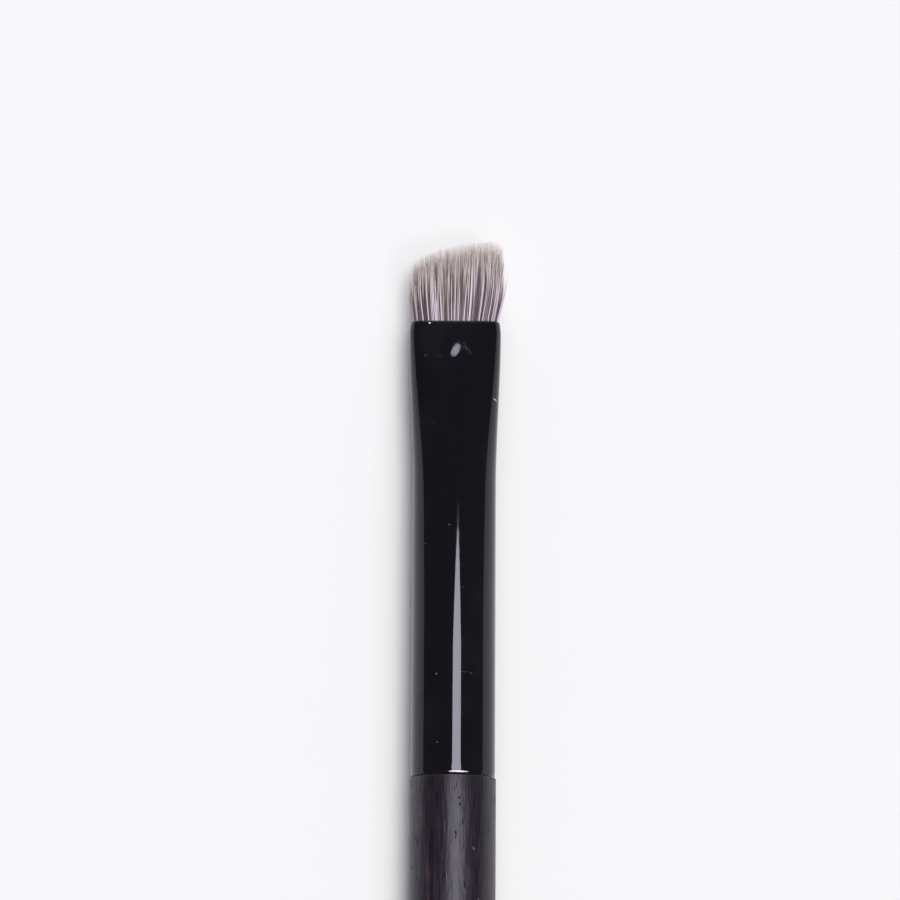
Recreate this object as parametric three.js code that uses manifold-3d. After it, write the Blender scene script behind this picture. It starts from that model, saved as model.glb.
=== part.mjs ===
// An angled eyebrow brush, lying on its side as it is put down on a table.
// Millimetres, +Z up. The brush lies along Y with its hair towards +Y and the flat of the hair facing up,
// and the long point of the slanted cut, the toe, is towards +X. The table is the plane Z = 0.
import * as THREE from "three";
import { mergeVertices } from "three/addons/utils/BufferGeometryUtils.js";
import Module from "manifold-3d";

// Handle: one turned piece of dark hardwood, straight behind the ferrule and tapered to a flat tail.
const HANDLE_DIAMETER = 7.0;
const HANDLE_LENGTH = 121;
const BARREL_LENGTH = 62; // the straight stretch behind the shoulder
const TAIL_DIAMETER = 5.0;
const TAIL_EDGE_RADIUS = 0.9;
const SHOULDER_EDGE_RADIUS = 0.1;
const TENON_LENGTH = 11; // the thin nose that is glued into the ferrule
const TENON_CHAMFER = 0.5;

// Ferrule: a drawn aluminium tube, round at the handle, then swaged to an oval and pressed flat at the mouth.
const FERRULE_LENGTH = 37.4;
const FERRULE_WALL = 0.2;
const FERRULE_STEP = 0.07; // how far it lies below the handle's surface at the seam
const FERRULE_TAPER = 0.04; // how much its radius draws in from the seam to the waist
const FERRULE_EDGE = 0.12; // chamfer on its outer edges
const SEAM_GAP = 0.1; // between its rear edge and the handle's shoulder
const MOUTH_WIDTH = 7.5;
const MOUTH_THICKNESS = 2.1;
const SWAGED_LENGTH = 27; // from the round rear to the mouth
const SWAGED_DROP = 1.25; // what swaging takes off the half thickness
const FLATTENED_LENGTH = 15.4; // from the start of the pressed stretch to the mouth
const WIDENED_LENGTH = 13.5; // from where the pressing widens the tube to the mouth
const LIP_LENGTH = 0.5; // where it widens no more

// Hair: tapered filaments in a slanted cut, longest at the toe and shortest at the heel.
const TOE_LENGTH = 6.75; // above the mouth
const HEEL_LENGTH = 4.6;
const EDGE_DROP = 0.5; // how much shorter the outermost filaments are
const FLARE = 0.095; // share by which the hair widens once it is out of the mouth
const FLARE_HEIGHT = 2.3; // where it has widened
const TOE_LEAN = 0.2; // sideways lean towards the toe at the tips
const PINCH = 0.45; // share by which the tips draw together in thickness
const STRAND_RADIUS = 0.06;
const STRAND_GAP = 0.042; // between neighbouring rows of strands
const STRAND_WAIST = 0.72; // share of its free length where a strand begins to point
const WAIST_RADIUS = 0.055;
const STRAND_ROOT = 0.2; // how deep a strand is set in its backing slice
const BACKING_DEPTH = 1.0; // from the mouth down to the backing slice
const BACKING_THICKNESS = 1.2;

// Knot: the buried ends of the filaments, gathered round, tied and cast into resin.
const KNOT_LENGTH = 12.25;
const BINDING_THICKNESS = 0.3;
const BINDING_WIDTH = 1.4;
const BINDING_SETBACK = 2.1; // from the knot's end to the binding
const RESIN_COVER = 1.8; // how far the resin reaches up round the knot's end
const RESIN_BEHIND = 3.0;

// Fits
const FIT_CLEARANCE = 0.05; // between pieces that seat in each other
const GLUE_THICKNESS = 0.12;

// How finely the round pieces are faceted. The facet count is a multiple of four, so one lies flat below.
const SIDES = 32;
const TAPER_STEPS = 7;
const SWAGED_STEPS = 14;
const KNOT_STEPS = 6;
const EDGE_STEPS = 3;
const FACETED = 1 / Math.cos(Math.PI / SIDES); // corner radius for a given radius across the flats

const wasm = await Module();
wasm.setup();

const lerp = THREE.MathUtils.lerp;
const smooth = (t) => THREE.MathUtils.smoothstep(t, 0, 1);

// From 0 to 1, level at the start and still rising at the end.
function drawn(t) {
  const share = THREE.MathUtils.clamp(t, 0, 1);
  return share * share * (2 - share);
}

// Places along the brush: Y is 0 at the handle's shoulder, and depth runs back from the mouth.
const mouthY = SEAM_GAP + FERRULE_LENGTH;
const atDepth = (depth) => mouthY - depth;
const backingEnd = BACKING_DEPTH + BACKING_THICKNESS;
const knotStart = backingEnd + FIT_CLEARANCE;
const knotEnd = knotStart + KNOT_LENGTH;
const bindingEnd = knotEnd - BINDING_SETBACK;
const bindingStart = bindingEnd - BINDING_WIDTH;

// The ferrule's outer half width and half thickness at a depth behind the mouth.
const handleRadius = HANDLE_DIAMETER / 2;
const rearRadius = handleRadius - FERRULE_STEP;
const waistRadius = rearRadius - FERRULE_TAPER;

function ferruleAt(depth) {
  const behindWaist = Math.max(0, depth - FLATTENED_LENGTH) / (FERRULE_LENGTH - FLATTENED_LENGTH);
  const radius = lerp(waistRadius, rearRadius, behindWaist);
  const swaged = drawn((SWAGED_LENGTH - depth) / SWAGED_LENGTH);
  const pressed = drawn((FLATTENED_LENGTH - depth) / FLATTENED_LENGTH);
  const pressedDrop = waistRadius - MOUTH_THICKNESS / 2 - SWAGED_DROP;
  const widened = smooth((WIDENED_LENGTH - depth) / (WIDENED_LENGTH - LIP_LENGTH));
  return {
    width: lerp(radius, MOUTH_WIDTH / 2, widened),
    thickness: radius - SWAGED_DROP * swaged - pressedDrop * pressed,
  };
}

function boreAt(depth, clearance = 0) {
  const outer = ferruleAt(depth);
  const inset = FERRULE_WALL + clearance;
  return { width: outer.width - inset, thickness: outer.thickness - inset };
}

// A closed ring of points: round if both halves are equal, and else flat with round ends.
function ring({ width, thickness }, y) {
  const radius = Math.min(width, thickness);
  return Array.from({ length: SIDES }, (_, side) => {
    const angle = ((side + 0.5) * 2 * Math.PI) / SIDES;
    const x = Math.sign(Math.sin(angle)) * (width - radius) + FACETED * radius * Math.sin(angle);
    const z = Math.sign(Math.cos(angle)) * (thickness - radius) + FACETED * radius * Math.cos(angle);
    return new THREE.Vector3(x, y, z);
  });
}

const grown = ({ width, thickness }, by) => ({ width: width + by, thickness: thickness + by });

// The skin through a row of rings. It either closes on itself or has a cap at each end, fanned from a point.
function loft(rings, { closesOnItself = false, tip = null } = {}) {
  const count = rings[0].length;
  const points = rings.flat();
  const faces = [];
  const lastBand = closesOnItself ? rings.length : rings.length - 1;
  for (let band = 0; band < lastBand; band++) {
    const near = band * count;
    const far = ((band + 1) % rings.length) * count;
    for (let i = 0; i < count; i++) {
      const next = (i + 1) % count;
      faces.push(near + i, near + next, far + next, near + i, far + next, far + i);
    }
  }
  if (!closesOnItself) {
    const middleOf = (one) => one.reduce((sum, p) => sum.add(p), new THREE.Vector3()).divideScalar(count);
    const start = points.push(middleOf(rings[0])) - 1;
    const end = points.push(tip ?? middleOf(rings.at(-1))) - 1;
    const lastRing = (rings.length - 1) * count;
    for (let i = 0; i < count; i++) {
      const next = (i + 1) % count;
      faces.push(start, next, i, end, lastRing + i, lastRing + next);
    }
  }
  const geometry = new THREE.BufferGeometry().setFromPoints(points);
  geometry.setIndex(faces);
  return geometry;
}

function solidOf(geometry) {
  const bare = geometry.clone();
  bare.deleteAttribute("normal");
  bare.deleteAttribute("uv");
  const merged = mergeVertices(bare);
  return new wasm.Manifold(
    new wasm.Mesh({
      numProp: 3,
      vertProperties: new Float32Array(merged.attributes.position.array),
      triVerts: new Uint32Array(merged.index.array),
    }),
  );
}

function geometryOf(solid) {
  const mesh = solid.getMesh();
  const geometry = new THREE.BufferGeometry();
  geometry.setAttribute("position", new THREE.BufferAttribute(mesh.vertProperties, mesh.numProp));
  geometry.setIndex(new THREE.BufferAttribute(mesh.triVerts, 1));
  geometry.computeVertexNormals();
  return geometry;
}

// A round piece about the brush's axis, from [radius, y] pairs that run towards the mouth.
function turned(profile) {
  const points = profile.map(([radius, y]) => new THREE.Vector2(radius * FACETED, y));
  return new THREE.LatheGeometry(points, SIDES, Math.PI / SIDES);
}

// A quarter round in a profile, about a centre, from one angle to another.
function quarterRound(radius, centreRadius, centreY, fromAngle, toAngle) {
  return Array.from({ length: EDGE_STEPS + 1 }, (_, step) => {
    const angle = lerp(fromAngle, toAngle, step / EDGE_STEPS);
    return [centreRadius + radius * Math.cos(angle), centreY + radius * Math.sin(angle)];
  });
}

// Tenon and glue share the ferrule's bore, which is narrowest at the tenon's front end.
const tightestBore = boreAt(mouthY - TENON_LENGTH, FIT_CLEARANCE).thickness;
const tenonRadius = tightestBore - GLUE_THICKNESS - FIT_CLEARANCE;

function handleGeometry() {
  const tailRadius = TAIL_DIAMETER / 2;
  const taperStart = -BARREL_LENGTH;
  const taperEnd = -HANDLE_LENGTH + TAIL_EDGE_RADIUS;
  const taper = Array.from({ length: TAPER_STEPS - 1 }, (_, step) => {
    const along = (TAPER_STEPS - 1 - step) / TAPER_STEPS;
    const slimmed = 1 - Math.cos((along * Math.PI) / 2);
    return [lerp(handleRadius, tailRadius, slimmed), lerp(taperStart, taperEnd, along)];
  });
  return turned([
    [0, -HANDLE_LENGTH],
    ...quarterRound(TAIL_EDGE_RADIUS, tailRadius - TAIL_EDGE_RADIUS, taperEnd, -Math.PI / 2, 0),
    ...taper,
    [handleRadius, taperStart],
    ...quarterRound(
      SHOULDER_EDGE_RADIUS,
      handleRadius - SHOULDER_EDGE_RADIUS,
      -SHOULDER_EDGE_RADIUS,
      0,
      Math.PI / 2,
    ),
    [tenonRadius, 0],
    [tenonRadius, TENON_LENGTH - TENON_CHAMFER],
    [tenonRadius - TENON_CHAMFER, TENON_LENGTH],
    [0, TENON_LENGTH],
  ]);
}

// The film of cured glue round the tenon, whose outside follows the ferrule's slightly tapered bore.
function tenonGlueGeometry() {
  const inner = tenonRadius + FIT_CLEARANCE;
  const rear = SEAM_GAP;
  const front = TENON_LENGTH - TENON_CHAMFER;
  return turned([
    [inner, rear],
    [boreAt(mouthY - rear, FIT_CLEARANCE).thickness, rear],
    [boreAt(mouthY - front, FIT_CLEARANCE).thickness, front],
    [inner, front],
    [inner, rear],
  ]);
}

function ferruleGeometry() {
  const swaged = Array.from({ length: SWAGED_STEPS }, (_, step) =>
    lerp(SWAGED_LENGTH, LIP_LENGTH, step / (SWAGED_STEPS - 1)),
  );
  const outer = [
    [FERRULE_LENGTH, -FERRULE_EDGE],
    [FERRULE_LENGTH - FERRULE_EDGE, 0],
    ...swaged.map((depth) => [depth, 0]),
    [FERRULE_EDGE, 0],
    [0, -FERRULE_EDGE],
  ];
  const inner = [0, ...swaged.toReversed(), FERRULE_LENGTH];
  return loft(
    [
      ...outer.map(([depth, by]) => ring(grown(ferruleAt(depth), by), atDepth(depth))),
      ...inner.map((depth) => ring(boreAt(depth), atDepth(depth))),
    ],
    { closesOnItself: true },
  );
}

// The knot fills the mouth's bore at its front and is gathered to a round neck where it is tied.
const neckRadius = boreAt(bindingStart, FIT_CLEARANCE).thickness - BINDING_THICKNESS - FIT_CLEARANCE;
const neck = { width: neckRadius, thickness: neckRadius };

function knotGeometry() {
  const front = boreAt(knotStart, FIT_CLEARANCE);
  const gathered = Array.from({ length: KNOT_STEPS }, (_, step) => {
    const along = step / (KNOT_STEPS - 1);
    const depth = lerp(bindingStart, knotStart, along);
    const room = boreAt(depth, FIT_CLEARANCE);
    const section = {
      width: Math.min(room.width, lerp(neck.width, front.width, smooth(along))),
      thickness: Math.min(room.thickness, lerp(neck.thickness, front.thickness, smooth(along))),
    };
    return ring(section, atDepth(depth));
  });
  return loft([ring(neck, atDepth(knotEnd)), ...gathered]);
}

function bindingGeometry() {
  const inner = neckRadius + FIT_CLEARANCE;
  const outer = inner + BINDING_THICKNESS;
  const edge = BINDING_THICKNESS / 2;
  const rear = atDepth(bindingEnd);
  const front = atDepth(bindingStart);
  return turned([
    [inner, rear],
    [outer - edge, rear],
    [outer, rear + edge],
    [outer, front - edge],
    [outer - edge, front],
    [inner, front],
    [inner, rear],
  ]);
}

// The resin is a cup: it was poured in from the rear and set round the knot's end.
function resinGeometry() {
  const rear = knotEnd + RESIN_BEHIND;
  const lip = knotEnd - RESIN_COVER;
  const floor = knotEnd + FIT_CLEARANCE;
  const walls = [rear, floor, lip].map((depth) => ring(boreAt(depth, FIT_CLEARANCE), atDepth(depth)));
  const cavity = [lip, floor].map((depth) => ring(grown(neck, FIT_CLEARANCE), atDepth(depth)));
  return loft([...walls, ...cavity]);
}

// Hair. A filament's root is a point in the mouth's section. At any one height all filaments are moved by
// the same stretch and shift, so no two can cross.
const hairSection = boreAt(0, FIT_CLEARANCE);
const endOffset = hairSection.width - hairSection.thickness;

// From 0 in the middle of the section to 1 at its edge.
function edgeNearness(x, z) {
  const beyondFlat = Math.max(0, Math.abs(x) - endOffset);
  return Math.hypot(beyondFlat, z) / hairSection.thickness;
}

function freeLength(x, z) {
  const fromToe = (1 - x / hairSection.width) / 2;
  const slanted = lerp(TOE_LENGTH, HEEL_LENGTH, fromToe * fromToe);
  return slanted - EDGE_DROP * edgeNearness(x, z) ** 6;
}

function strandPoint(x, z, height) {
  const risen = Math.max(0, height);
  const widened = 1 + FLARE * smooth(risen / FLARE_HEIGHT);
  const leaned = (TOE_LEAN * risen) / TOE_LENGTH;
  const pinched = 1 - PINCH * smooth(risen / TOE_LENGTH);
  return new THREE.Vector3(x * widened + leaned, mouthY + height, z * pinched);
}

function strandGeometry(x, z) {
  const length = freeLength(x, z);
  const stations = [
    [-BACKING_DEPTH - STRAND_ROOT, STRAND_RADIUS],
    [0, STRAND_RADIUS],
    [length * STRAND_WAIST, WAIST_RADIUS],
  ];
  const corners = [0, 1, 2].map((corner) => (corner * 2 * Math.PI) / 3);
  const rings = stations.map(([height, radius]) => {
    const centre = strandPoint(x, z, height);
    const corner = (angle) => new THREE.Vector3(Math.sin(angle), 0, Math.cos(angle)).multiplyScalar(radius);
    return corners.map((angle) => corner(angle).add(centre));
  });
  return loft(rings, { tip: strandPoint(x, z, length) });
}

// Roots stand in rows, each row staggered by half a pitch, so they also line up in files that slant by 60
// degrees across the section. A root's file is counted from the middle of the hair.
const rowStep = 2 * STRAND_RADIUS + STRAND_GAP;
const strandPitch = (2 * rowStep) / Math.sqrt(3);
const fileSlant = Math.PI / 6;

function strandRoots() {
  const rows = Math.floor(hairSection.thickness / rowStep);
  const files = Math.ceil((hairSection.width + hairSection.thickness) / strandPitch);
  const clearEdge = 1 - STRAND_RADIUS / hairSection.thickness;
  const roots = [];
  for (let row = -rows; row <= rows; row++) {
    for (let file = -files; file <= files; file++) {
      const root = { file, x: (file + row / 2) * strandPitch, z: row * rowStep };
      if (edgeNearness(root.x, root.z) <= clearEdge) roots.push(root);
    }
  }
  return roots;
}

// One block of the hair: a slice of the bonded backing, cut between two files, with the strands on it.
function hairBlockGeometry(firstFile, lastFile) {
  const backing = loft(
    [backingEnd, BACKING_DEPTH].map((depth) => ring(boreAt(depth, FIT_CLEARANCE), atDepth(depth))),
  );
  const cutWidth = (lastFile - firstFile + 1) * rowStep - STRAND_GAP / 2;
  const cutter = new THREE.BoxGeometry(cutWidth, 2 * BACKING_THICKNESS, 2 * MOUTH_WIDTH);
  cutter.rotateY(fileSlant);
  const middleX = ((firstFile + lastFile) / 2) * strandPitch;
  cutter.translate(middleX, atDepth((backingEnd + BACKING_DEPTH) / 2), 0);
  const mine = strandRoots().filter(({ file }) => file >= firstFile && file <= lastFile);
  let block = solidOf(backing).intersect(solidOf(cutter));
  for (const { x, z } of mine) block = block.add(solidOf(strandGeometry(x, z)));
  return geometryOf(block);
}

// Materials
const finish = (color, roughness, metalness = 0) =>
  new THREE.MeshStandardMaterial({ color, roughness, metalness });
const darkWood = finish(0x2a2129, 0.45);
const blackLacquer = finish(0x0b0b0d, 0.12, 0.2);
const clearGlue = finish(0xb9a673, 0.4);
const amberResin = finish(0x9c7a3c, 0.25);
const boundFilament = finish(0x4a3a3c, 0.6);
const whiteThread = finish(0xe2ddd2, 0.85);
const taupeFilament = finish(0xa8979a, 0.55);

// Assembly
const brush = new THREE.Group();

function addPiece(name, geometry, material) {
  const piece = new THREE.Mesh(geometry, material);
  piece.name = name;
  brush.add(piece);
}

addPiece("handle", handleGeometry(), darkWood);
addPiece("ferrule", ferruleGeometry(), blackLacquer);
addPiece("tenon_glue", tenonGlueGeometry(), clearGlue);
addPiece("resin_plug", resinGeometry(), amberResin);
addPiece("hair_knot", knotGeometry(), boundFilament);
addPiece("binding_thread", bindingGeometry(), whiteThread);

// The blocks share the files evenly. The end blocks reach past the section's ends.
const BLOCK_NAMES = ["hair_heel", "hair_inner_heel", "hair_inner_toe", "hair_toe"];
const blockWidth = (2 * hairSection.width) / BLOCK_NAMES.length;
const fileNear = (x) => Math.round(x / strandPitch);
const cutFiles = BLOCK_NAMES.map((_, index) => fileNear(index * blockWidth - hairSection.width));
cutFiles[0] = fileNear(-MOUTH_WIDTH);
cutFiles.push(fileNear(MOUTH_WIDTH));
BLOCK_NAMES.forEach((name, index) => {
  addPiece(name, hairBlockGeometry(cutFiles[index], cutFiles[index + 1] - 1), taupeFilament);
});

// The origin is on the table under the middle of the brush.
const overallLength = HANDLE_LENGTH + mouthY + TOE_LENGTH;
brush.position.set(0, HANDLE_LENGTH - overallLength / 2, handleRadius);

export default brush;
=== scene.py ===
import math

import bpy
import numpy as np
from mathutils import Matrix, Vector


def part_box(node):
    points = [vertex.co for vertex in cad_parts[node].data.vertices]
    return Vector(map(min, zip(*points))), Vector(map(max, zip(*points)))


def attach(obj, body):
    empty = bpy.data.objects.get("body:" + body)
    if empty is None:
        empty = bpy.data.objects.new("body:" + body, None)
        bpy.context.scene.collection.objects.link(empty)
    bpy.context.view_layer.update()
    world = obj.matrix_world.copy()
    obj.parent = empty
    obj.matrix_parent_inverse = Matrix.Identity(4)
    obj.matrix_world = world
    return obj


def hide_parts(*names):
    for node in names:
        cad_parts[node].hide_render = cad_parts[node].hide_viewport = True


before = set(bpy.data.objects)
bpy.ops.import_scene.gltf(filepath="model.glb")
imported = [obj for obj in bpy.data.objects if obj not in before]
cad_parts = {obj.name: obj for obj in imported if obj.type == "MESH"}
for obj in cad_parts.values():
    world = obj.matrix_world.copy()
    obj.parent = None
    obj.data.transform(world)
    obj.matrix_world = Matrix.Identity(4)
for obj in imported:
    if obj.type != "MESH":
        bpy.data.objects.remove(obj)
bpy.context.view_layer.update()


# Ferrule: a thin drawn aluminium tube, swaged to an oval along its front, pressed flat at the mouth and
# dipped in gloss black lacquer. Its rear edge is rolled over and its lip is drawn in round the hair, and
# use has left some dust, a scratch and a small chip. A pale patch near the mouth, a bright spot at the
# rim and a bright band on the rear edge are painted highlights, drawn as a scuff and bare-metal chips.
MM = 0.001
FERRULE_REAR_RADIUS = 3.43 * MM
FERRULE_WAIST_RADIUS = 3.39 * MM
FERRULE_WALL = 0.2 * MM
MOUTH_HALF_WIDTH = 3.75 * MM
MOUTH_HALF_THICKNESS = 1.05 * MM
SWAGED_LENGTH = 27 * MM
CONE_LENGTH = 16 * MM
CONE_SLOPE = 0.0424
FLATTENED_LENGTH = 15.4 * MM
WIDENED_LENGTH = 13.5 * MM
LIP_LENGTH = 0.5 * MM
LIP_DRAW = 0.13 * MM
LIP_DRAWN_LENGTH = 1.1 * MM
REAR_EDGE_LENGTH = 0.8 * MM
REAR_EDGE_DROP = 0.075 * MM
RIM_RADIUS = 0.12 * MM
CUT_EDGE_LENGTH = 0.1 * MM
CUT_EDGE_BLEND = 0.06 * MM
FINE_FRONT_LENGTH = 6 * MM
FERRULE_SIDES = 200
OUTLINE_STEPS = 1440
EDGE_STEPS = 10
HANDLED_SCALE = 260.0
DUST_SCALE = 700.0
MOTTLE_SCALE = 7000.0
ORANGE_PEEL_SCALE = 900.0
LACQUER_BLACK = (0.0047, 0.0043, 0.0058, 1)
LACQUER_SMUDGED = (0.0080, 0.0076, 0.0098, 1)
LACQUER_DUST = (0.16, 0.155, 0.17, 1)
LACQUER_SCUFF_AND_GLINT = (0.31, 0.31, 0.37, 1)
BARE_METAL_GLINT = (0.90, 0.90, 0.92, 1)
LACQUER_SHEEN = (0.81, 0.825, 1.0, 1)

# Wear on the upper side, in millimetres: place across, depth behind the mouth, half length, half width,
# lean in degrees from the brush's length towards the toe, and strength.
# The first is a painted highlight, a pale patch for the glint of a small dent near the mouth; the others
# are dust specks and a scratch.
SCUFFS_AND_PAINTED_GLINT = [
    (0.04, 2.50, 0.60, 0.32, 24, 0.80),
    (-0.40, 17.18, 0.06, 0.05, 0, 0.45),
    (-2.32, 18.62, 0.06, 0.05, 0, 0.35),
    (-1.37, 29.35, 0.07, 0.06, 0, 0.80),
    (-1.27, 34.90, 0.06, 0.05, 0, 0.45),
    (-2.85, 30.40, 0.14, 0.03, 40, 0.40),
]
SMUDGES = [
    (0.35, 2.05, 0.35, 0.50, 40, 0.04),
    (0.78, 2.20, 0.32, 0.18, -10, 0.10),
    (1.10, 2.55, 0.38, 0.16, -35, 0.06),
    (-2.40, 2.95, 0.12, 0.12, 0, 0.15),
    (-1.43, 2.98, 0.12, 0.30, 10, 0.07),
    (0.62, 22.30, 0.05, 0.50, 0, 0.10),
    (0.70, 29.20, 0.05, 0.55, 0, 0.10),
    (0.55, 32.60, 0.07, 0.40, 0, 0.08),
]
# Bare-metal chips. The spot at the rim and the band on the rear edge are painted highlights, standing in
# for glints; the thin arc is a chip.
CHIPS_AND_PAINTED_GLINTS = [
    (-2.10, 0.22, 0.07, 0.09, 0, 0.7),
    (3.29, 6.55, 0.045, 0.16, 28, 0.9),
    (0.42, 37.27, 0.058, 0.82, 0, 1.0),
]
SPOT_EDGE = 0.9
SPOT_RAGGEDNESS = 1.4
SPOT_RAGGED_SCALE = 5000.0
UPPER_SIDE_BLEND = 0.1 * MM

ferrule_low, ferrule_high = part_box("ferrule")
AXIS_HEIGHT = (ferrule_low.z + ferrule_high.z) / 2
MOUTH_Y = ferrule_high.y
FERRULE_LENGTH = ferrule_high.y - ferrule_low.y


class Signal:
    """One output of a node. Arithmetic on signals adds Math nodes to the tree they are in."""

    def __init__(self, board, socket):
        self.board = board
        self.socket = socket

    def math(self, operation, first, second):
        return self.board.node("ShaderNodeMath", {"operation": operation}, {0: first, 1: second})

    def __add__(self, other):
        return self.math("ADD", self, other)

    def __radd__(self, other):
        return self.math("ADD", other, self)

    def __sub__(self, other):
        return self.math("SUBTRACT", self, other)

    def __rsub__(self, other):
        return self.math("SUBTRACT", other, self)

    def __mul__(self, other):
        return self.math("MULTIPLY", self, other)

    def __rmul__(self, other):
        return self.math("MULTIPLY", other, self)


class NodeBoard:
    """A node tree that is filled one node at a time."""

    def __init__(self, tree):
        self.tree = tree

    def feed(self, socket, value):
        if isinstance(value, Signal):
            self.tree.links.new(value.socket, socket)
        else:
            socket.default_value = value

    def node(self, kind, settings=None, sockets=None, output=0):
        made = self.tree.nodes.new(kind)
        for name, value in (settings or {}).items():
            setattr(made, name, value)
        for key, value in (sockets or {}).items():
            self.feed(made.inputs[key], value)
        return Signal(self, made.outputs[output])

    def blend(self, share, first, second):
        sockets = {0: share, 6: first, 7: second}
        return self.node("ShaderNodeMix", {"data_type": "RGBA"}, sockets, output=2)

    def rise(self, value, low, high):
        settings = {"interpolation_type": "SMOOTHSTEP"}
        return self.node("ShaderNodeMapRange", settings, {0: value, 1: low, 2: high})

    def stretched(self, place, factors):
        return self.node("ShaderNodeVectorMath", {"operation": "MULTIPLY"}, {0: place, 1: factors})

    def noise(self, place, scale, detail=2.0):
        return self.node("ShaderNodeTexNoise", {}, {"Vector": place, "Scale": scale, "Detail": detail})


class Finish(NodeBoard):
    """A material with one Principled shader. Its constants are set on the shader's own sockets."""

    def __init__(self, name, **constants):
        self.material = bpy.data.materials.new(name)
        self.material.use_nodes = True
        super().__init__(self.material.node_tree)
        self.shader = self.tree.nodes["Principled BSDF"]
        self.dress(**constants)

    def dress(self, **values):
        for name, value in values.items():
            self.feed(self.shader.inputs[name.replace("_", " ")], value)

    def place(self):
        return self.node("ShaderNodeTexCoord", output="Object")

    def bump(self, height, strength, distance):
        sockets = {"Height": height, "Strength": strength, "Distance": distance}
        return self.node("ShaderNodeBump", {}, sockets)


def worn_spots(finish, place, spots, fade):
    """A mask of small ragged ovals on the upper side. Their edges fade over a share of their size."""
    x, y, z = (finish.node("ShaderNodeSeparateXYZ", {}, {0: place}, axis) for axis in "XYZ")
    ragged = finish.noise(place, SPOT_RAGGED_SCALE) - 0.5
    worn = 0.0
    for across, depth, half_length, half_width, lean, strength in spots:
        off_x = x - across * MM
        off_y = y - (MOUTH_Y - depth * MM)
        cos = math.cos(math.radians(lean))
        sin = math.sin(math.radians(lean))
        lengthwise = (off_x * sin + off_y * cos) * (1 / (half_length * MM))
        sideways = (off_x * cos - off_y * sin) * (1 / (half_width * MM))
        reach = lengthwise * lengthwise + sideways * sideways + ragged * SPOT_RAGGEDNESS
        worn = finish.rise(reach, SPOT_EDGE + fade, SPOT_EDGE - fade) * strength + worn
    return worn * finish.rise(z, AXIS_HEIGHT, AXIS_HEIGHT + UPPER_SIDE_BLEND)


def gloss_black_lacquer():
    lacquer = Finish("gloss_black_lacquer", IOR=1.45, Specular_Tint=LACQUER_SHEEN)
    place = lacquer.place()
    handled = lacquer.rise(lacquer.noise(place, HANDLED_SCALE, 3.0), 0.45, 0.75)
    cell = {"Vector": place, "Scale": DUST_SCALE}
    nearness = lacquer.node("ShaderNodeTexVoronoi", {}, cell, "Distance")
    chance = lacquer.node("ShaderNodeTexVoronoi", {}, cell, "Color")
    chosen = lacquer.rise(lacquer.node("ShaderNodeSeparateColor", {}, {0: chance}), 0.70, 0.72)
    dust = lacquer.rise(nearness, 0.05, 0.03) * chosen
    mottled = lacquer.rise(lacquer.noise(place, MOTTLE_SCALE, 3.0), 0.35, 0.65)
    # Painted highlight: the first scuff is the pale glint near the mouth.
    scuffed_and_glinting = worn_spots(lacquer, place, SCUFFS_AND_PAINTED_GLINT, 0.5) * (0.7 + mottled * 0.3)
    scuffed_and_glinting = scuffed_and_glinting + worn_spots(lacquer, place, SMUDGES, 0.9) * mottled
    # Painted highlights: the rim and rear-edge chips are pale rough metal that stands in for glints.
    chipped_and_glinting = worn_spots(lacquer, place, CHIPS_AND_PAINTED_GLINTS, 0.4)
    lengthwise = lacquer.node("ShaderNodeSeparateXYZ", {}, {0: place}, "Y")
    cut_at = MOUTH_Y - CUT_EDGE_LENGTH
    cut_edge = lacquer.rise(lengthwise, cut_at - CUT_EDGE_BLEND, cut_at)
    smudged = lacquer.blend(handled, LACQUER_BLACK, LACQUER_SMUDGED)
    dusty = lacquer.blend(dust * 0.6, smudged, LACQUER_DUST)
    rubbed_and_glinting = lacquer.blend(scuffed_and_glinting, dusty, LACQUER_SCUFF_AND_GLINT)
    orange_peel = lacquer.noise(place, ORANGE_PEEL_SCALE, 1.0)
    lacquer.dress(
        Base_Color=lacquer.blend(chipped_and_glinting, rubbed_and_glinting, BARE_METAL_GLINT),
        Metallic=chipped_and_glinting,
        Roughness=0.035 + handled * 0.03 + dust * 0.3 + scuffed_and_glinting * 0.4 + chipped_and_glinting * 0.6 + cut_edge * 0.6,
        Normal=lacquer.bump(orange_peel, 0.05, 0.02 * MM),
    )
    return lacquer


def ease(share):
    """From 0 to 1, level at both ends."""
    share = np.clip(share, 0, 1)
    return share * share * (3 - 2 * share)


def mix(first, second, share):
    return first + (second - first) * share


def drawn(share):
    """From 0 to 1, level at the start and still rising at the end."""
    share = np.clip(share, 0, 1)
    return share * share * (2 - share)


def swaged_drop(depth):
    """How far the tube's top has come down at a depth: a gentle bend, then a straight cone."""
    bend = SWAGED_LENGTH - CONE_LENGTH
    unbent = np.clip((depth - CONE_LENGTH) / bend, 0, 1)
    return CONE_SLOPE * (bend * (2 / 3 - unbent + unbent**3 / 3) + max(0, CONE_LENGTH - depth))


def ferrule_half_sizes(depth):
    """Half width and half thickness of the tube at a depth behind the mouth."""
    behind_waist = max(0, depth - FLATTENED_LENGTH) / (FERRULE_LENGTH - FLATTENED_LENGTH)
    radius = mix(FERRULE_WAIST_RADIUS, FERRULE_REAR_RADIUS, behind_waist)
    pressed = drawn((FLATTENED_LENGTH - depth) / FLATTENED_LENGTH)
    pressed_drop = FERRULE_WAIST_RADIUS - MOUTH_HALF_THICKNESS - swaged_drop(0)
    widened = ease((WIDENED_LENGTH - depth) / (WIDENED_LENGTH - LIP_LENGTH))
    drawn_in = LIP_DRAW * max(0, 1 - depth / LIP_DRAWN_LENGTH) ** 2
    width = mix(radius, MOUTH_HALF_WIDTH, widened) - drawn_in
    return width, radius - swaged_drop(depth) - pressed_drop * pressed


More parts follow.
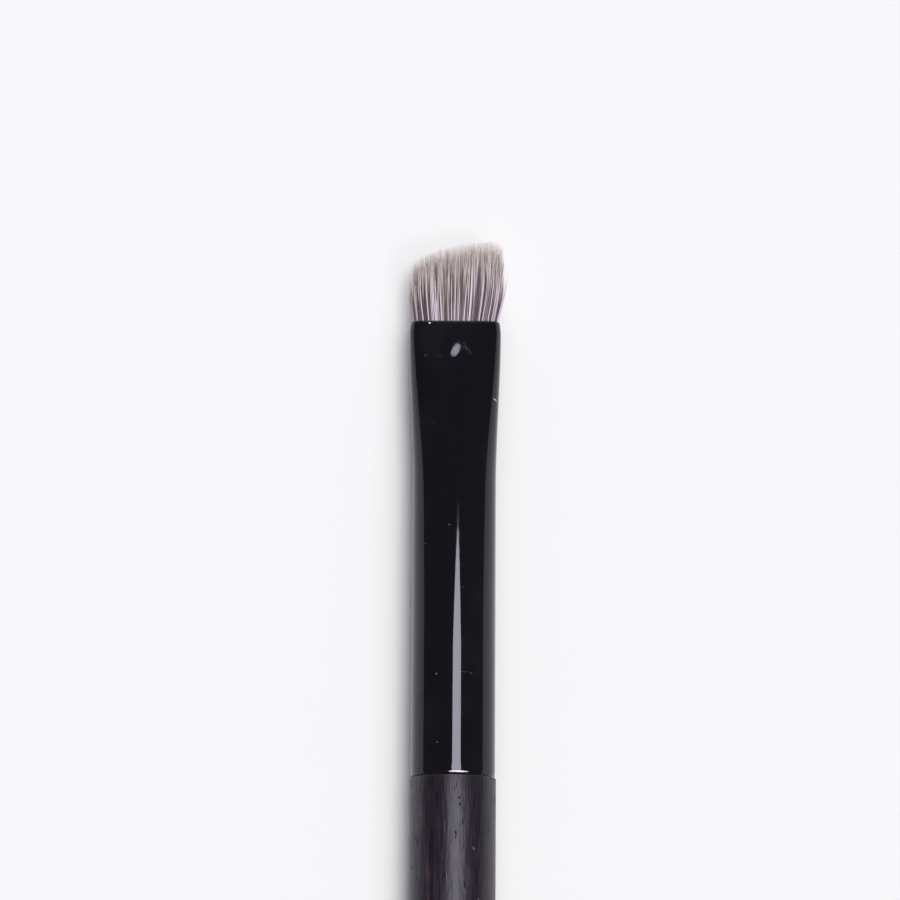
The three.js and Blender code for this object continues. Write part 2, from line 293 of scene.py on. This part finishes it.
def ferrule_ring(depth, inset):
    """Points round the tube at a depth, evenly spaced, inset from its outer skin."""
    width, thickness = ferrule_half_sizes(depth)
    pressed = ease((FLATTENED_LENGTH - depth) / FLATTENED_LENGTH)
    facing = (np.arange(OUTLINE_STEPS) + 0.5) / OUTLINE_STEPS * 2 * math.pi
    across, upward = np.sin(facing), np.cos(facing)
    reach = np.hypot(width * across, thickness * upward)
    oval = np.stack([width**2 * across / reach, thickness**2 * upward / reach], 1)
    flat = np.sign(across) * (width - thickness)
    flat_sided = np.stack([flat + thickness * across, thickness * upward], 1)
    outline = mix(oval, flat_sided, pressed) - inset * np.stack([across, upward], 1)
    closed = np.vstack([outline, outline[:1]])
    walked = np.concatenate([[0], np.cumsum(np.linalg.norm(np.diff(closed, axis=0), axis=1))])
    stops = (np.arange(FERRULE_SIDES) + 0.5) / FERRULE_SIDES * walked[-1]
    x = np.interp(stops, walked, closed[:, 0])
    z = np.interp(stops, walked, closed[:, 1])
    return np.stack([x, np.full(FERRULE_SIDES, MOUTH_Y - depth), AXIS_HEIGHT + z], 1)


def rounded_edge(depth_at_face, reach, drop):
    """Depths and insets of a quarter round from the tube's skin to its end face."""
    turns = np.linspace(0, math.pi / 2, EDGE_STEPS)
    return [(depth_at_face + reach * (1 - math.sin(t)), drop * (1 - math.cos(t))) for t in turns]


def closed_tube(rings):
    """Points and faces of a skin through rings that close on themselves both ways."""
    rows, sides = len(rings), len(rings[0])
    row, side = np.meshgrid(np.arange(rows), np.arange(sides), indexing="ij")
    next_row, next_side = (row + 1) % rows, (side + 1) % sides
    corners = [(row, side), (row, next_side), (next_row, next_side), (next_row, side)]
    faces = np.stack([r * sides + s for r, s in corners], -1).reshape(-1, 4)
    return np.vstack(rings), faces


def add_piece(name, points, faces, finish):
    mesh = bpy.data.meshes.new(name)
    mesh.from_pydata(points.tolist(), [], [list(face) for face in faces])
    mesh.shade_smooth()
    mesh.materials.append(finish.material)
    piece = bpy.data.objects.new(name, mesh)
    bpy.context.collection.objects.link(piece)
    return piece


def ferrule_skin():
    front = np.linspace(RIM_RADIUS, FINE_FRONT_LENGTH, 50)
    middle = np.linspace(FINE_FRONT_LENGTH, SWAGED_LENGTH, 60)[1:]
    rear = np.linspace(SWAGED_LENGTH, FERRULE_LENGTH - REAR_EDGE_LENGTH, 14)[1:-1]
    depths = np.concatenate([front, middle, rear])[::-1]
    rear_edge = rounded_edge(FERRULE_LENGTH, -REAR_EDGE_LENGTH, REAR_EDGE_DROP)[::-1]
    rim = rounded_edge(0, RIM_RADIUS, RIM_RADIUS)
    outer = rear_edge + [(depth, 0) for depth in depths[:-1]] + rim
    rings = [ferrule_ring(depth, inset) for depth, inset in outer]
    inner = np.concatenate([np.linspace(0, SWAGED_LENGTH, 60), [FERRULE_LENGTH]])
    rings += [ferrule_ring(depth, FERRULE_WALL) for depth in inner]
    return closed_tube(rings)


ferrule = add_piece("lacquered_ferrule", *ferrule_skin(), gloss_black_lacquer())
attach(ferrule, "root")
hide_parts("ferrule")


# Hair: some two and a half thousand tapered synthetic filaments in two tones, violet to brown ones that
# pale towards their tips and near white ones. They are packed in the mouth, glued below it and cut at a
# slant. The outer ones cling together in thin pointed strands, and the inner ones end in a soft edge.
TOE_LENGTH = 6.6 * MM
HEEL_LENGTH = 4.7 * MM
SLANT_CURVE = 2.3
EDGE_DROP = 0.4 * MM
EDGE_CURVE = 6
FLARE = 0.095
FLARE_HEIGHT = 3.2 * MM
TOE_LEAN = 0.5 * MM
LEAN_START = -0.4
TOE_ROUNDING = 1.9 * MM
TOE_CORNER = 0.17
TOE_CURVE = 2.5
HEEL_ROUNDING = 0.45 * MM
HEEL_CORNER = 0.16
HEEL_CURVE = 1.5
PINCH = 0.45
HAIR_ROOT_DEPTH = 2.2 * MM
HAIR_CLEARANCE = 0.05 * MM
HAIR_HALF_WIDTH = MOUTH_HALF_WIDTH - FERRULE_WALL - HAIR_CLEARANCE
HAIR_HALF_THICKNESS = MOUTH_HALF_THICKNESS - FERRULE_WALL - HAIR_CLEARANCE
FILLED_SHARE = 0.99
FILAMENT_PITCH = 0.068 * MM
FILAMENT_JITTER = 0.12
FILAMENT_RADIUS = 0.035 * MM
FILAMENT_THICKNESSES = (0.75, 1.15)
FILAMENT_TAPER = 0.9
FILAMENT_TAPER_START = 0.45
FILAMENT_STATIONS = 12
FILAMENT_SIDES = 4
SHORTEST_FILAMENT = 1.5 * MM
LENGTH_SPARE = 0.2 * MM
CUT_SCATTER = 0.34 * MM
SWAY = 0.1 * MM
SWAY_UPWARD = 0.5
SWAY_CURVE = 1.5
STRAY_COUNT = 4
STRAY_START = 0.9
STRAY_SWAYS = (0.12 * MM, 0.28 * MM)
UNWRAP_SIDE_MARGIN = 0.2
UNWRAP_END_MARGIN = 0.1

# Strands: clumps of neighbours. The outer ones are near the mouth's edge, the end ones at heel and toe.
STRAND_PITCH = 0.155 * MM
STRAND_JITTER = 0.32
STRAND_POINT = 1.6
OUTER_START = 0.58
OUTER_BLEND = 0.15
END_START = 0.94
END_BLEND = 0.04
INNER_REACHES = (0.995, 1.025)
OUTER_REACHES = (0.6, 1.0)
INNER_CLINGS = (0.5, 0.7)
OUTER_CLINGS = (0.62, 0.85)
CLING_HEIGHT = 1.8 * MM
CLING_AT_MOUTH = 0.85
INNER_TIP_CLING = 0.1
OUTER_TIP_CLING = 0.95
TIP_START = 0.35

# Tones: pale strands take turns with dark ones, and each strand is warmer or cooler than the next.
GOLDEN_TURN = 0.618
TURN_SHIFTS = (-0.12, 0.12)
INNER_PALE_SHARE = 0.12
OUTER_PALE_SHARE = 0.5
PALE_TONES = (0.5, 1.3)
DARK_TONES = (0, 0.2)
TONE_SCATTER = 0.12
WARMTHS = (-0.25, 1.05)
TOE_COOLNESS = 0.25
FADE_SHIFTS = (-0.32, 0.26)
DARK_FADE = (0.48, 0.98)
PALE_FADE = (0.3, 0.9)
SHADE_MEAN = 0.95
SHADE_SCATTER = 0.08
DARKEST_SHADE = 0.75
# Painted shade: filaments are darkened towards the edge of their strand, standing in for the shadow
# between clumps.
CLUMP_PAINTED_SHADE = 0.2
CLUMP_PAINTED_SHADE_REACH = 0.6 * STRAND_PITCH
VIOLET_ROOT = (0.122, 0.056, 0.108, 1)
BROWN_ROOT = (0.150, 0.084, 0.070, 1)
DARK_TIP = (0.88, 0.755, 0.70, 1)
LAVENDER_ROOT = (0.95, 0.82, 0.98, 1)
CREAM_ROOT = (0.98, 0.87, 0.86, 1)
PALE_TIP = (0.97, 0.87, 0.83, 1)
random = np.random.default_rng(23)


def two_tone_filament():
    filament = Finish("two_tone_filament", IOR=1.45, Roughness=0.5)
    along, paleness, tone_and_painted_shade, warmth = (
        filament.node("ShaderNodeAttribute", {"attribute_name": name}, {}, "Fac")
        for name in ("along", "paleness", "tone_and_painted_shade", "warmth")
    )
    dark_root = filament.blend(warmth, VIOLET_ROOT, BROWN_ROOT)
    pale_root = filament.blend(warmth, LAVENDER_ROOT, CREAM_ROOT)
    dark = filament.blend(filament.rise(along, *DARK_FADE), dark_root, DARK_TIP)
    pale = filament.blend(filament.rise(along, *PALE_FADE), pale_root, PALE_TIP)
    colour = filament.blend(paleness, dark, pale)
    # Each filament's colour is scaled by its own tone and by the painted shade at its strand's edge.
    shading = {0: colour, "Scale": tone_and_painted_shade}
    shaded = filament.node("ShaderNodeVectorMath", {"operation": "SCALE"}, shading)
    filament.dress(Base_Color=shaded)
    return filament


def staggered_grid(pitch, jitter):
    """Places over the mouth's section, in staggered rows, each moved a little by chance."""
    row_step = pitch * math.sqrt(3) / 2
    last_row = math.ceil(HAIR_HALF_THICKNESS / row_step)
    last_file = math.ceil(HAIR_HALF_WIDTH / pitch)
    rows = np.arange(-last_row, last_row + 1)
    files = np.arange(-last_file, last_file + 1)
    row, file = np.meshgrid(rows, files, indexing="ij")
    places = np.stack([(file + 0.5 * (row % 2)) * pitch, row * row_step], -1).reshape(-1, 2)
    return places + random.normal(0, jitter * pitch, places.shape)


def edge_nearness(roots):
    """From 0 in the middle of the mouth's section to 1 at its edge."""
    flat_end = HAIR_HALF_WIDTH - HAIR_HALF_THICKNESS
    beyond_flat = np.maximum(0, np.abs(roots[:, 0]) - flat_end)
    return np.hypot(beyond_flat, roots[:, 1]) / HAIR_HALF_THICKNESS


def free_length(roots):
    """How far filaments stand out of the mouth: the slanted cut with its rounded corners."""
    from_toe = (1 - roots[:, 0] / HAIR_HALF_WIDTH) / 2
    slanted = mix(TOE_LENGTH, HEEL_LENGTH, from_toe**SLANT_CURVE)
    into_toe = np.clip(1 - from_toe / TOE_CORNER, 0, 1)
    into_heel = np.clip(1 - (1 - from_toe) / HEEL_CORNER, 0, 1)
    rounded = TOE_ROUNDING * into_toe**TOE_CURVE + HEEL_ROUNDING * into_heel**HEEL_CURVE
    return slanted - rounded - EDGE_DROP * edge_nearness(roots) ** EDGE_CURVE


roots = staggered_grid(FILAMENT_PITCH, FILAMENT_JITTER)
roots = roots[edge_nearness(roots) < FILLED_SHARE]
count = len(roots)
strands = staggered_grid(STRAND_PITCH, STRAND_JITTER)
strand_count = len(strands)
own_strand = np.argmin(np.linalg.norm(roots[:, None] - strands[None], axis=2), axis=1)
members = np.maximum(1, np.bincount(own_strand, minlength=strand_count))
strand_sums = [np.bincount(own_strand, roots[:, axis], strand_count) for axis in (0, 1)]
strands = np.stack(strand_sums, 1) / members[:, None]
strand_centre = strands[own_strand]
from_centre = np.linalg.norm(roots - strand_centre, axis=1)


def by_strand(limits):
    """A chance value for each strand, between two limits."""
    return random.uniform(*limits, strand_count)


outer = ease((edge_nearness(strands) - OUTER_START) / OUTER_BLEND)
at_ends = ease((np.abs(strands[:, 0]) / HAIR_HALF_WIDTH - END_START) / END_BLEND)
turn_taken = (np.arange(strand_count) * GOLDEN_TURN + by_strand(TURN_SHIFTS)) % 1
pale_share = np.maximum(mix(INNER_PALE_SHARE, OUTER_PALE_SHARE, outer), at_ends)
strand_paleness = np.where(turn_taken < pale_share, by_strand(PALE_TONES), by_strand(DARK_TONES))
strand_reach = mix(by_strand(INNER_REACHES), by_strand(OUTER_REACHES), outer)
strand_cling = mix(by_strand(INNER_CLINGS), by_strand(OUTER_CLINGS), outer)
strand_fade = by_strand(FADE_SHIFTS)
strand_sway = random.normal(0, SWAY, (strand_count, 2)) * (1, SWAY_UPWARD)
own_outer = outer[own_strand]
paleness = np.clip(strand_paleness[own_strand] + random.normal(0, TONE_SCATTER, count), 0, 1)
tone_and_painted_shade = np.clip(random.normal(SHADE_MEAN, SHADE_SCATTER, count), DARKEST_SHADE, 1)
# Painted shade: darker towards the edge of each strand, where the clumps shadow one another.
tone_and_painted_shade = tone_and_painted_shade * (1 - CLUMP_PAINTED_SHADE * ease(from_centre / CLUMP_PAINTED_SHADE_REACH))
cut_short = mix(random.exponential(CUT_SCATTER, count), STRAND_POINT * from_centre, own_outer)
length = free_length(roots) * strand_reach[own_strand] - cut_short + LENGTH_SPARE
length = np.maximum(SHORTEST_FILAMENT, length)
sway = strand_sway[own_strand] + random.normal(0, SWAY, (count, 2)) * (1 - own_outer)[:, None]
near_ends = np.flatnonzero(np.abs(roots[:, 0]) > STRAY_START * HAIR_HALF_WIDTH)
strays = random.choice(near_ends, STRAY_COUNT, replace=False)
sway[strays, 0] += np.sign(roots[strays, 0]) * random.uniform(*STRAY_SWAYS, STRAY_COUNT)
radius = FILAMENT_RADIUS * random.uniform(*FILAMENT_THICKNESSES, count)
cooled = TOE_COOLNESS * strands[:, 0] / HAIR_HALF_WIDTH
warmth = np.clip(by_strand(WARMTHS) - cooled, 0, 1)[own_strand]

risen_share = np.linspace(0, 1, FILAMENT_STATIONS)
height = -HAIR_ROOT_DEPTH + risen_share[None] * (length + HAIR_ROOT_DEPTH)[:, None]
risen = np.maximum(0, height)
gone_free = risen / length[:, None]
faded = gone_free + strand_fade[own_strand][:, None]
cling = strand_cling[own_strand][:, None] * mix(CLING_AT_MOUTH, 1, ease(risen / CLING_HEIGHT))
cling_at_tip = mix(INNER_TIP_CLING * cling, OUTER_TIP_CLING, own_outer[:, None])
pulled = mix(cling, cling_at_tip, ease((gone_free - TIP_START) / (1 - TIP_START)))
gathered = mix(roots[:, None, :], strand_centre[:, None, :], pulled[..., None])
gathered = gathered + sway[:, None, :] * gone_free[..., None] ** SWAY_CURVE
lean = TOE_LEAN * ease((roots[:, :1] / HAIR_HALF_WIDTH - LEAN_START) / (1 - LEAN_START))
fanned = np.sin(np.minimum(1, risen / FLARE_HEIGHT) * math.pi / 2)
centre = np.stack(
    [
        gathered[..., 0] * (1 + FLARE * fanned) + lean * risen / TOE_LENGTH,
        MOUTH_Y + height,
        AXIS_HEIGHT + gathered[..., 1] * (1 - PINCH * ease(risen / TOE_LENGTH)),
    ],
    -1,
)
into_taper = ease((gone_free - FILAMENT_TAPER_START) / (1 - FILAMENT_TAPER_START))
tapered = radius[:, None] * (1 - FILAMENT_TAPER * into_taper)
corner = (np.arange(FILAMENT_SIDES) + 0.5) / FILAMENT_SIDES * 2 * math.pi
spoke = np.stack([np.cos(corner), np.zeros(FILAMENT_SIDES), np.sin(corner)], -1)
filament_points = centre[:, :, None, :] + tapered[:, :, None, None] * spoke

per_filament = FILAMENT_STATIONS * FILAMENT_SIDES
side_faces = [
    [
        station * FILAMENT_SIDES + side,
        station * FILAMENT_SIDES + (side + 1) % FILAMENT_SIDES,
        (station + 1) * FILAMENT_SIDES + (side + 1) % FILAMENT_SIDES,
        (station + 1) * FILAMENT_SIDES + side,
    ]
    for station in range(FILAMENT_STATIONS - 1)
    for side in range(FILAMENT_SIDES)
]
end_faces = [
    list(range(FILAMENT_SIDES))[::-1],
    list(range(per_filament - FILAMENT_SIDES, per_filament)),
]
filament_faces = [face[::-1] for face in side_faces + end_faces]


def add_filaments(name, chosen, finish):
    """One block of the hair. A filament's tones, and a point's share of its length, stay on its points."""
    points = filament_points[chosen].reshape(-1, 3)
    starts = range(0, len(points), per_filament)
    faces = [[start + corner for corner in face] for start in starts for face in filament_faces]
    block = add_piece(name, points, faces, finish)
    mesh = block.data
    kept = {
        "along": np.repeat(faded[chosen], FILAMENT_SIDES, axis=1),
        "paleness": np.repeat(paleness[chosen], per_filament),
        # The painted shade at each strand's edge travels with the filament's tone.
        "tone_and_painted_shade": np.repeat(tone_and_painted_shade[chosen], per_filament),
        "warmth": np.repeat(warmth[chosen], per_filament),
    }
    for attribute, values in kept.items():
        mesh.attributes.new(attribute, "FLOAT", "POINT").data.foreach_set("value", values.ravel())
    cells = math.ceil(math.sqrt(len(chosen)))
    corners = np.empty(len(mesh.loops), int)
    mesh.loops.foreach_get("vertex_index", corners)
    cell = corners // per_filament
    station = corners % per_filament // FILAMENT_SIDES
    across = mix(UNWRAP_SIDE_MARGIN, 1 - UNWRAP_SIDE_MARGIN, corners % 2)
    up = mix(UNWRAP_END_MARGIN, 1 - UNWRAP_END_MARGIN, risen_share[station])
    unwrapped = np.stack([cell % cells + across, cell // cells + up], 1) / cells
    mesh.uv_layers.new(name="OFBake").data.foreach_set("uv", unwrapped.ravel())
    return block


BLOCKS = ["hair_heel", "hair_inner_heel", "hair_inner_toe", "hair_toe"]
filament_finish = two_tone_filament()
from_heel = (roots[:, 0] / HAIR_HALF_WIDTH + 1) / 2
block_of_root = np.clip(from_heel * len(BLOCKS), 0, len(BLOCKS) - 1).astype(int)
for index, node in enumerate(BLOCKS):
    chosen = np.flatnonzero(block_of_root == index)
    block = add_filaments(node.replace("hair", "filaments"), chosen, filament_finish)
    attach(block, "root")
    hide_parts(node)


# Hair knot: the buried ends of the same filaments, gathered to a round neck inside the ferrule and soaked
# in bonding resin. They still show as fine threads that run along the brush.
KNOT_DARK = (0.045, 0.028, 0.032, 1)
KNOT_PALE = (0.16, 0.11, 0.11, 1)
KNOT_THREADS = (9000, 300, 9000)


def bonded_filament():
    bonded = Finish("bonded_filament", Roughness=0.55)
    threads = bonded.noise(bonded.stretched(bonded.place(), KNOT_THREADS), 1.0)
    bonded.dress(
        Base_Color=bonded.blend(bonded.rise(threads, 0.35, 0.65), KNOT_DARK, KNOT_PALE),
        Normal=bonded.bump(threads, 0.4, 0.03 * MM),
    )
    return bonded


def finish_solid(node, finish):
    """Gives a solid that stays as it is its finish."""
    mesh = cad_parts[node].data
    mesh.materials.clear()
    mesh.materials.append(finish.material)


finish_solid("hair_knot", bonded_filament())


# Binding thread: a few turns of waxed white cotton, wound tight round the knot. They tie the filaments
# into one bundle before it goes into the ferrule.
THREAD_WHITE = (0.72, 0.69, 0.60, 1)
THREAD_SHADE = (0.36, 0.33, 0.27, 1)
THREAD_SCALE = 1050.0


def waxed_cotton():
    cotton = Finish("waxed_cotton", Roughness=0.75)
    settings = {"wave_type": "BANDS", "bands_direction": "Y"}
    sockets = {"Vector": cotton.place(), "Scale": THREAD_SCALE}
    turns = cotton.node("ShaderNodeTexWave", settings, sockets, "Fac")
    cotton.dress(
        Base_Color=cotton.blend(turns, THREAD_SHADE, THREAD_WHITE),
        Normal=cotton.bump(turns, 0.8, 0.1 * MM),
    )
    return cotton


finish_solid("binding_thread", waxed_cotton())


# Resin plug: amber epoxy, poured in from the rear and set round the knot's end, which locks the hair in
# the tube. It is a little cloudy from the pouring.
RESIN_AMBER = (0.36, 0.20, 0.05, 1)
RESIN_DEEP = (0.22, 0.11, 0.025, 1)
RESIN_SWIRL_SCALE = 800.0


def cast_epoxy():
    epoxy = Finish("cast_epoxy", IOR=1.54, Roughness=0.15)
    swirl = epoxy.noise(epoxy.place(), RESIN_SWIRL_SCALE)
    epoxy.dress(Base_Color=epoxy.blend(epoxy.rise(swirl, 0.3, 0.7), RESIN_DEEP, RESIN_AMBER))
    return epoxy


finish_solid("resin_plug", cast_epoxy())


# Tenon glue: a film of wood glue, clear where it is thin and cloudy where it is thick. It holds the
# handle's nose in the rear of the ferrule.
GLUE_CLEAR = (0.52, 0.42, 0.20, 1)
GLUE_CLOUDY = (0.62, 0.55, 0.38, 1)
GLUE_CLOUD_SCALE = 600.0


def wood_glue():
    glue = Finish("wood_glue", Roughness=0.4)
    clouds = glue.noise(glue.place(), GLUE_CLOUD_SCALE)
    glue.dress(Base_Color=glue.blend(clouds, GLUE_CLEAR, GLUE_CLOUDY))
    return glue


finish_solid("tenon_glue", wood_glue())


# Handle: one turned piece of dark stained hardwood with a thin satin lacquer, straight behind the
# ferrule, tapered to a small flat tail, and with a nose that is glued into the ferrule. Its grain runs
# along it, and open pores show as short dark dashes.
HANDLE_RADIUS = 3.5 * MM
HANDLE_LENGTH = 121 * MM
BARREL_LENGTH = 62 * MM
TAIL_RADIUS = 2.5 * MM
TAIL_EDGE_RADIUS = 0.9 * MM
SHOULDER_EDGE_RADIUS = 0.1 * MM
TENON_RADIUS = 2.9 * MM
TENON_LENGTH = 11 * MM
TENON_CHAMFER = 0.5 * MM
SEAM_GAP = 0.1 * MM
HANDLE_SIDES = 160
BARREL_STEPS = 20
TAPER_STEPS = 25
QUARTER_STEPS = 7
FINE_GRAIN = (6000, 420, 6000)
BROAD_GRAIN = (1600, 90, 1600)
GRAIN_PATCHES = (2600, 900, 2600)
PORE_CELLS = (2600, 500, 2600)
WOOD_DARK = (0.0050, 0.0034, 0.0058, 1)
WOOD_MID = (0.024, 0.0150, 0.027, 1)
WOOD_RED = (0.072, 0.027, 0.042, 1)
WOOD_PORE = (0.0025, 0.002, 0.0025, 1)
WOOD_SHEEN = (0.87, 0.85, 1.0, 1)

# Pores and pale specks on the upper side, as for the ferrule.
OPEN_PORES = [
    (0.54, 39.40, 0.09, 0.08, 0, 1.0),
    (0.60, 39.92, 0.12, 0.07, 8, 1.0),
    (0.15, 38.70, 0.16, 0.03, 0, 0.6),
    (-1.30, 43.10, 0.16, 0.05, 0, 0.8),
]
PALE_SPECKS = [
    (1.70, 43.45, 0.16, 0.06, -15, 0.8),
    (2.10, 47.55, 0.07, 0.06, 0, 0.8),
]
SHOULDER_Y = MOUTH_Y - FERRULE_LENGTH - SEAM_GAP


def satin_dark_wood():
    wood = Finish("satin_dark_wood", IOR=1.52, Specular_Tint=WOOD_SHEEN)
    place = wood.place()
    fine = wood.noise(wood.stretched(place, FINE_GRAIN), 1.0, 4.0)
    broad = wood.noise(wood.stretched(place, BROAD_GRAIN), 1.0, 3.0)
    patchy = wood.noise(wood.stretched(place, GRAIN_PATCHES), 1.0, 3.0)
    grained = wood.rise(fine + broad * 0.7, 0.66, 1.04)
    streaked = wood.blend(grained, WOOD_DARK, WOOD_MID)
    reddened = wood.blend(wood.rise(broad + patchy * 0.6, 0.86, 1.04) * grained, streaked, WOOD_RED)
    cell = {"Vector": wood.stretched(place, PORE_CELLS), "Scale": 1.0}
    nearness = wood.node("ShaderNodeTexVoronoi", {}, cell, "Distance")
    opened = worn_spots(wood, place, OPEN_PORES, 0.4)
    pores = wood.rise(nearness, 0.24, 0.14) * wood.rise(patchy, 0.48, 0.56) + opened
    pale_specked = worn_spots(wood, place, PALE_SPECKS, 0.4)
    wood.dress(
        Base_Color=wood.blend(pale_specked, wood.blend(pores, reddened, WOOD_PORE), LACQUER_DUST),
        Roughness=0.35 + fine * 0.08 + pores * 0.65,
        Normal=wood.bump(fine + patchy * 0.6 - pores * 0.5, 0.8, 0.03 * MM),
    )
    return wood


def quarter_round(radius, centre_radius, centre_y, first_angle):
    """Pairs of (radius, y) over a quarter turn from an angle."""
    angles = np.linspace(first_angle, first_angle + math.pi / 2, QUARTER_STEPS)
    return [(centre_radius + radius * math.cos(a), centre_y + radius * math.sin(a)) for a in angles]


def turned(profile):
    """Points and faces of a round piece about the brush's axis, from (radius, y) pairs, rear first."""
    turn = np.arange(HANDLE_SIDES) / HANDLE_SIDES * 2 * math.pi
    rings = [
        np.stack([r * np.sin(turn), np.full(HANDLE_SIDES, y), AXIS_HEIGHT + r * np.cos(turn)], 1)
        for r, y in profile
    ]
    points, faces = closed_tube(rings)
    sides = faces[: (len(rings) - 1) * HANDLE_SIDES].tolist()
    rear_end = list(range(HANDLE_SIDES))[::-1]
    front_end = list(range(len(points) - HANDLE_SIDES, len(points)))
    return points, sides + [rear_end, front_end]


def handle_profile():
    taper_start = SHOULDER_Y - BARREL_LENGTH
    taper_end = SHOULDER_Y - HANDLE_LENGTH + TAIL_EDGE_RADIUS
    tail = quarter_round(TAIL_EDGE_RADIUS, TAIL_RADIUS - TAIL_EDGE_RADIUS, taper_end, -math.pi / 2)
    taper = []
    for share in np.linspace(1, 0, TAPER_STEPS)[1:]:
        narrowed = 1 - math.cos(share * math.pi / 2)
        taper.append((mix(HANDLE_RADIUS, TAIL_RADIUS, narrowed), mix(taper_start, taper_end, share)))
    edge_y = SHOULDER_Y - SHOULDER_EDGE_RADIUS
    barrel = [(HANDLE_RADIUS, y) for y in np.linspace(taper_start, edge_y, BARREL_STEPS)[1:-1]]
    edge_centre = HANDLE_RADIUS - SHOULDER_EDGE_RADIUS
    shoulder = quarter_round(SHOULDER_EDGE_RADIUS, edge_centre, edge_y, 0)
    nose_end = SHOULDER_Y + TENON_LENGTH
    nose = [
        (TENON_RADIUS, SHOULDER_Y),
        (TENON_RADIUS, nose_end - TENON_CHAMFER),
        (TENON_RADIUS - TENON_CHAMFER, nose_end),
    ]
    return tail + taper + barrel + shoulder + nose


handle = add_piece("turned_handle", *turned(handle_profile()), satin_dark_wood())
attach(handle, "root")
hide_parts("handle")


# Table: a smooth white sheet, matt and far larger than the picture. The brush lies on it with the flat of
# its hair up.
TABLE_HALF_SIZE = 8.0
TABLE_WHITE = (0.965, 0.963, 0.96, 1)
TABLE_SOFT_WHITE = (0.95, 0.948, 0.945, 1)
TABLE_CLOUD_SCALE = 25.0


def white_sheet():
    sheet = Finish("white_sheet", Roughness=0.9)
    clouds = sheet.noise(sheet.place(), TABLE_CLOUD_SCALE)
    sheet.dress(Base_Color=sheet.blend(clouds, TABLE_SOFT_WHITE, TABLE_WHITE))
    return sheet


table_corners = np.array([(-1, -1, 0), (1, -1, 0), (1, 1, 0), (-1, 1, 0)]) * TABLE_HALF_SIZE
table = add_piece("table", table_corners, [(0, 1, 2, 3)], white_sheet())


# Light: a round softbox above and a little to the right, a lamp beyond the hair and a weak panel at the
# right. Their levels and the dim room add up to about one, at which a colour renders as it is written.
SOFTBOX_LEVEL = 0.522
SOFTBOX_WARM = (1.0, 0.99, 0.952)
HAIR_LAMP_LEVEL = 0.28
HAIR_LAMP_COOL = (0.925, 0.935, 1.0)
SIDE_PANEL_LEVEL = 0.09
SIDE_PANEL_COOL = (0.96, 0.975, 1.0)
ROOM_DIM = (0.115, 0.117, 0.142, 1)
HORIZON_PALE = (0.92, 0.92, 0.925, 1)


def add_lamp(name, level, colour, rightward, tipward, spread):
    """A far, soft lamp, tilted from straight above by degrees to the right and towards the hair."""
    across = math.tan(math.radians(rightward))
    along = math.tan(math.radians(tipward))
    towards = Vector((across, along, 1)).normalized()
    lamp = bpy.data.lights.new(name, "SUN")
    lamp.angle = math.radians(spread)
    lamp.energy = level * math.pi / towards.z
    lamp.color = colour
    holder = bpy.data.objects.new(name, lamp)
    holder.rotation_euler = towards.to_track_quat("Z", "Y").to_euler()
    bpy.context.collection.objects.link(holder)


add_lamp("softbox", SOFTBOX_LEVEL, SOFTBOX_WARM, rightward=9.5, tipward=0.75, spread=25.5)
add_lamp("lamp_beyond_hair", HAIR_LAMP_LEVEL, HAIR_LAMP_COOL, rightward=8.5, tipward=55, spread=36)
add_lamp("side_panel", SIDE_PANEL_LEVEL, SIDE_PANEL_COOL, rightward=27, tipward=-28, spread=20)

room = bpy.data.worlds.new("dim_room")
room.use_nodes = True
bpy.context.scene.world = room
room_board = NodeBoard(room.node_tree)
towards = room_board.node("ShaderNodeTexCoord", output="Generated")
above_horizon = room_board.node("ShaderNodeSeparateXYZ", {}, {0: towards}, "Z")
room_colour = room_board.blend(room_board.rise(above_horizon, 0.005, 0.03), HORIZON_PALE, ROOM_DIM)
room_board.feed(room.node_tree.nodes["Background"].inputs["Color"], room_colour)


# Camera: half a metre above the ferrule, with a long lens. It stands a little towards the tail and is
# rolled by a third of a degree.
CAMERA_LENS = 245.0
CAMERA_DISTANCE = 0.5
CAMERA_LEAN = math.radians(9.3)
CAMERA_ROLL = math.radians(0.328)
AIM_X = -0.375 * MM
AIM_AHEAD_OF_SEAM = 26.84 * MM

forward = Vector((0, math.sin(CAMERA_LEAN), -math.cos(CAMERA_LEAN)))
level_right = Vector((1, 0, 0))
level_up = level_right.cross(forward)
rolled_right = level_right * math.cos(CAMERA_ROLL) + level_up * math.sin(CAMERA_ROLL)
rolled_up = level_up * math.cos(CAMERA_ROLL) - level_right * math.sin(CAMERA_ROLL)
aim = Vector((AIM_X, MOUTH_Y - FERRULE_LENGTH + AIM_AHEAD_OF_SEAM, AXIS_HEIGHT))
eye = aim - forward * CAMERA_DISTANCE
turn = Matrix((rolled_right, rolled_up, -forward)).transposed().to_4x4()

camera_data = bpy.data.cameras.new("camera")
camera_data.lens = CAMERA_LENS
camera_data.sensor_width = 36.0
camera_data.clip_start = 0.01
camera_data.clip_end = 50.0
camera = bpy.data.objects.new("camera", camera_data)
camera.matrix_world = Matrix.Translation(eye) @ turn
bpy.context.collection.objects.link(camera)
bpy.context.scene.camera = camera
bpy.context.scene.view_settings.view_transform = "Standard"
